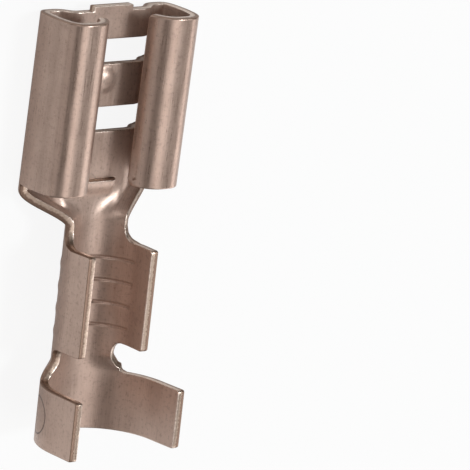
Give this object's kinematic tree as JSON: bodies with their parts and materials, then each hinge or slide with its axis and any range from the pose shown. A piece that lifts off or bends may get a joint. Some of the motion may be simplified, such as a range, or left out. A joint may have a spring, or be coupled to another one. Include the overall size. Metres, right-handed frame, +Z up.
{
  "type": "female spade terminal",
  "caption": "Uninsulated female spade terminal in folded plated brass: a receptacle with rolled sides for a flat tab, an open wire barrel and an open insulation barrel.",
  "frame": {"origin": "under the middle of the part's length and width, at the underside of the receptacle's lobes", "axes": "+Y towards the mouth of the receptacle, +Z up through the open tops of the barrels, +X to the right, seen from the crimp end"},
  "size_m": [0.0078, 0.0198, 0.0055],
  "materials": {
    "strip": "tin-plated, satin, with bright sheared edges"
  },
  "bodies": {
    "root": {"terminal": "strip"}
  },
  "joints": []
}
